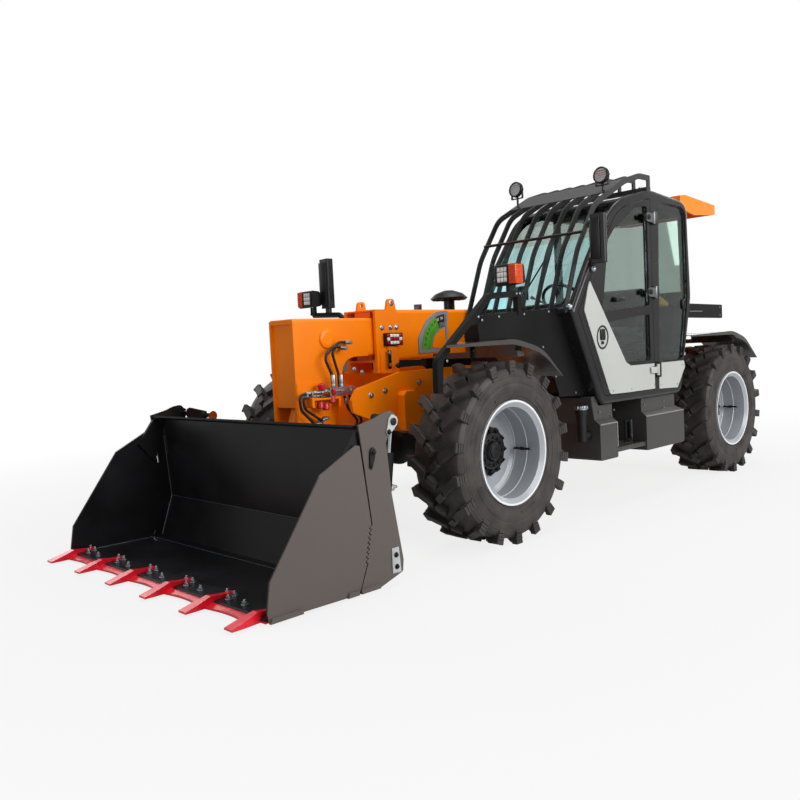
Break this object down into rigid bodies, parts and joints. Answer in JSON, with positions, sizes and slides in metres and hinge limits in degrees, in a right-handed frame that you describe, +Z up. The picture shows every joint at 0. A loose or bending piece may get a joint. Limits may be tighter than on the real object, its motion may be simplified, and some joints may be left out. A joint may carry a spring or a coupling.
{
  "type": "telehandler",
  "caption": "Compact telescopic handler with a side cab, a telescoping boom, a toothed four-in-one bucket and four steered wheels.",
  "frame": {"origin": "on the ground below the middle of the machine's length and width", "axes": "+X forward, towards the bucket; +Y to the driver's left, the cab's side; +Z up"},
  "size_m": [6.255, 2.423, 2.5779],
  "materials": {
    "orange": "gloss paint",
    "black_frame": "satin paint",
    "bucket_grey": "satin paint",
    "edge_red": "gloss paint",
    "rim_grey": "satin paint",
    "panel_grey": "gloss paint",
    "tyre": "tread rubber",
    "glass": "tinted",
    "guard_grey": "satin paint",
    "plastic": "textured",
    "seat_fabric": "woven",
    "axle_black": "painted",
    "chrome_rod": "polished",
    "engine": "raw",
    "lamp": "moulded"
  },
  "bodies": {
    "chassis": {"air_cleaner": "plastic", "axles": "axle_black", "cab_frame": "black_frame", "cab_glass": "glass", "chassis_frame": "orange", "counterweight": "black_frame", "cowl": "plastic", "dashboard": "plastic", "engine_block": "engine", "engine_cover": "orange", "engine_tray": "black_frame", "fenders": "plastic", "filler_neck": "plastic", "lamps": "lamp", "left_boxes": "black_frame", "mirrors": "plastic", "rear_lamps": "black_frame", "right_arm": "black_frame", "roof_guard": "guard_grey", "roof_visor": "orange", "seat": "seat_fabric", "side_panel": "panel_grey", "steering_wheel": "plastic"},
    "boom": {"outer_boom": "orange", "angle_scale": "plastic", "boom_lamp": "orange"},
    "telescope": {"inner_boom": "orange", "hoses": "plastic", "couplers": "chrome_rod"},
    "bucket": {"carriage": "black_frame", "bucket_back": "bucket_grey"},
    "clam": {"bucket_clam": "bucket_grey", "bucket_edge": "edge_red"},
    "lift_cylinder": {"lift_barrel": "black_frame"},
    "lift_ram": {"lift_rod": "chrome_rod"},
    "tilt_cylinder": {"tilt_barrel": "black_frame"},
    "tilt_ram": {"tilt_rod": "chrome_rod"},
    "clam_cylinders": {"clam_barrels": "black_frame"},
    "clam_rams": {"clam_rods": "chrome_rod"},
    "door": {"door_frame": "black_frame", "door_glass": "glass", "door_panel": "panel_grey"},
    "hood": {"engine_hood": "orange"},
    "steer_front_left": {"knuckle_front_left": "axle_black"},
    "wheel_front_left": {"tyre_front_left": "tyre", "rim_front_left": "rim_grey"},
    "steer_front_right": {"knuckle_front_right": "axle_black"},
    "wheel_front_right": {"tyre_front_right": "tyre", "rim_front_right": "rim_grey"},
    "steer_rear_left": {"knuckle_rear_left": "axle_black"},
    "wheel_rear_left": {"tyre_rear_left": "tyre", "rim_rear_left": "rim_grey"},
    "steer_rear_right": {"knuckle_rear_right": "axle_black"},
    "wheel_rear_right": {"tyre_rear_right": "tyre", "rim_rear_right": "rim_grey"}
  },
  "joints": [
    {"name": "boom_lift", "type": "hinge", "parent": "chassis", "child": "boom", "pos_m": [-2.0775, 0, 1.47], "axis": [0, -1, 0], "range_deg": [0, 62]},
    {"name": "boom_extend", "type": "slide", "parent": "boom", "child": "telescope", "axis": [1, 0, 0], "range_m": [0, 2.2]},
    {"name": "bucket_tilt", "type": "hinge", "parent": "telescope", "child": "bucket", "pos_m": [1.9525, 0, 0.4], "axis": [0, 1, 0], "range_deg": [-20, 90]},
    {"name": "clam_open", "type": "hinge", "parent": "bucket", "child": "clam", "pos_m": [2.0795, 0, 0.888], "axis": [0, -1, 0], "range_deg": [0, 50]},
    {"name": "lift_cylinder_swing", "type": "hinge", "parent": "chassis", "child": "lift_cylinder", "pos_m": [-1.89162, 0, 0.46708], "axis": [0, -1, 0], "range_deg": [0, 31.01]},
    {"name": "lift_ram_slide", "type": "slide", "parent": "lift_cylinder", "child": "lift_ram", "axis": [0.7604, 0, 0.6494], "range_m": [0, 0.76432]},
    {"name": "tilt_cylinder_swing", "type": "hinge", "parent": "telescope", "child": "tilt_cylinder", "pos_m": [1.6845, 0, 1.364], "axis": [0, -1, 0], "range_deg": [-0.4, 1.8]},
    {"name": "tilt_ram_slide", "type": "slide", "parent": "tilt_cylinder", "child": "tilt_ram", "axis": [0.3346, 0, -0.9423], "range_m": [-0.02977, 0.13362]},
    {"name": "clam_cylinders_swing", "type": "hinge", "parent": "bucket", "child": "clam_cylinders", "pos_m": [2.0325, 0, 0.24], "axis": [0, -1, 0], "range_deg": [-5.5, 0]},
    {"name": "clam_rams_slide", "type": "slide", "parent": "clam_cylinders", "child": "clam_rams", "axis": [-0.1596, 0, 0.9872], "range_m": [-0.11355, 0]},
    {"name": "door_swing", "type": "hinge", "parent": "chassis", "child": "door", "pos_m": [-0.8775, 1.116, 1.5], "axis": [0, 0, 1], "range_deg": [0, 85]},
    {"name": "hood_lift", "type": "hinge", "parent": "chassis", "child": "hood", "pos_m": [-0.8775, -0.39, 1.4], "axis": [-1, 0, 0], "range_deg": [0, 60]},
    {"name": "steer_front_left_turn", "type": "hinge", "parent": "chassis", "child": "steer_front_left", "pos_m": [1.0225, 0.74, 0.585], "axis": [0, 0, 1], "range_deg": [-28, 28]},
    {"name": "roll_front_left", "type": "hinge", "parent": "steer_front_left", "child": "wheel_front_left", "pos_m": [1.0225, 0.935, 0.585], "axis": [0, 1, 0], "continuous": true},
    {"name": "steer_front_right_turn", "type": "hinge", "parent": "chassis", "child": "steer_front_right", "pos_m": [1.0225, -0.74, 0.585], "axis": [0, 0, 1], "range_deg": [-28, 28]},
    {"name": "roll_front_right", "type": "hinge", "parent": "steer_front_right", "child": "wheel_front_right", "pos_m": [1.0225, -0.935, 0.585], "axis": [0, 1, 0], "continuous": true},
    {"name": "steer_rear_left_turn", "type": "hinge", "parent": "chassis", "child": "steer_rear_left", "pos_m": [-2.2475, 0.74, 0.585], "axis": [0, 0, 1], "range_deg": [-28, 28]},
    {"name": "roll_rear_left", "type": "hinge", "parent": "steer_rear_left", "child": "wheel_rear_left", "pos_m": [-2.2475, 0.935, 0.585], "axis": [0, 1, 0], "continuous": true},
    {"name": "steer_rear_right_turn", "type": "hinge", "parent": "chassis", "child": "steer_rear_right", "pos_m": [-2.2475, -0.74, 0.585], "axis": [0, 0, 1], "range_deg": [-28, 28]},
    {"name": "roll_rear_right", "type": "hinge", "parent": "steer_rear_right", "child": "wheel_rear_right", "pos_m": [-2.2475, -0.935, 0.585], "axis": [0, 1, 0], "continuous": true}
  ],
  "couplings": [
    {"joint": "lift_cylinder_swing", "follows": "boom_lift", "ratio": 0.5},
    {"joint": "lift_ram_slide", "follows": "boom_lift", "m_per_rad": 0.70624},
    {"joint": "tilt_cylinder_swing", "follows": "bucket_tilt", "ratio": 0.02},
    {"joint": "tilt_ram_slide", "follows": "bucket_tilt", "m_per_rad": 0.085},
    {"joint": "clam_cylinders_swing", "follows": "clam_open", "ratio": -0.11},
    {"joint": "clam_rams_slide", "follows": "clam_open", "m_per_rad": -0.13},
    {"joint": "steer_front_right_turn", "follows": "steer_front_left_turn", "ratio": 1},
    {"joint": "steer_rear_left_turn", "follows": "steer_front_left_turn", "ratio": -1},
    {"joint": "steer_rear_right_turn", "follows": "steer_front_left_turn", "ratio": -1}
  ]
}
